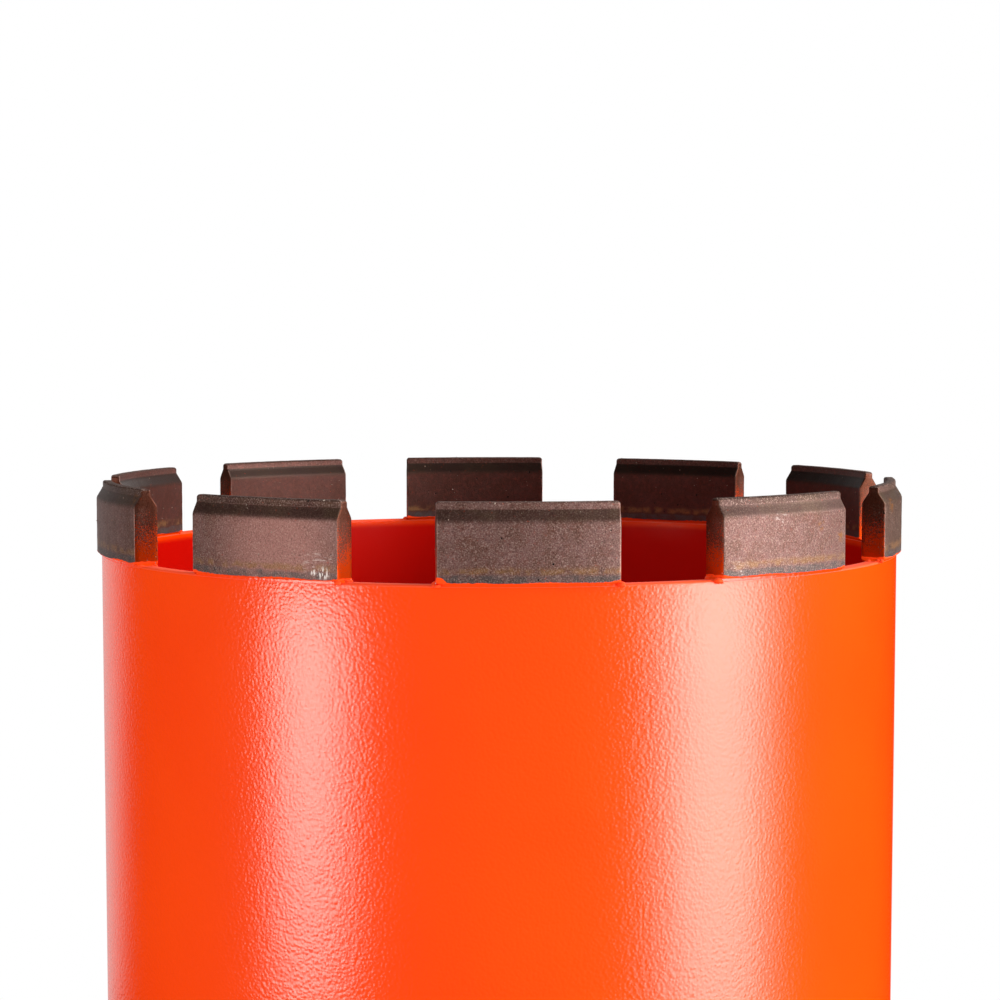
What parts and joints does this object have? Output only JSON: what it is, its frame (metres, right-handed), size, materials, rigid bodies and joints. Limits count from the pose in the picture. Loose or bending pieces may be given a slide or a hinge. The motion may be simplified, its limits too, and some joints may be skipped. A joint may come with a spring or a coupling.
{
  "type": "diamond core bit",
  "caption": "Wet core drilling bit: a painted steel tube with a ring of roof-shaped diamond segments at one end and a threaded hub at the other.",
  "frame": {"origin": "centre of the hub's end face, at the bottom of the part, on the axis of the tube", "axes": "+Z along the drilling axis, from the threaded hub up to the cutting crown; one segment is centred on -Y; the wrench flats face +X and -X"},
  "size_m": [0.1214, 0.122, 0.5088],
  "materials": {
    "orange_paint": "bright orange powder coat with fine orange peel, satin gloss",
    "sintered_metal": "brown sintered metal matrix with fine diamond grit, satin"
  },
  "bodies": {
    "root": {"barrel": "orange_paint", "end_plate": "orange_paint", "plate_weld": "orange_paint", "threaded_hub": "orange_paint", "hub_weld": "orange_paint", "segment_weld_01": "orange_paint", "segment_weld_02": "orange_paint", "segment_weld_03": "orange_paint", "segment_weld_04": "orange_paint", "segment_weld_05": "orange_paint", "segment_weld_06": "orange_paint", "segment_weld_07": "orange_paint", "segment_weld_08": "orange_paint", "segment_weld_09": "orange_paint", "segment_weld_10": "orange_paint", "segment_01": "sintered_metal", "segment_02": "sintered_metal", "segment_03": "sintered_metal", "segment_04": "sintered_metal", "segment_05": "sintered_metal", "segment_06": "sintered_metal", "segment_07": "sintered_metal", "segment_08": "sintered_metal", "segment_09": "sintered_metal", "segment_10": "sintered_metal"}
  },
  "joints": []
}
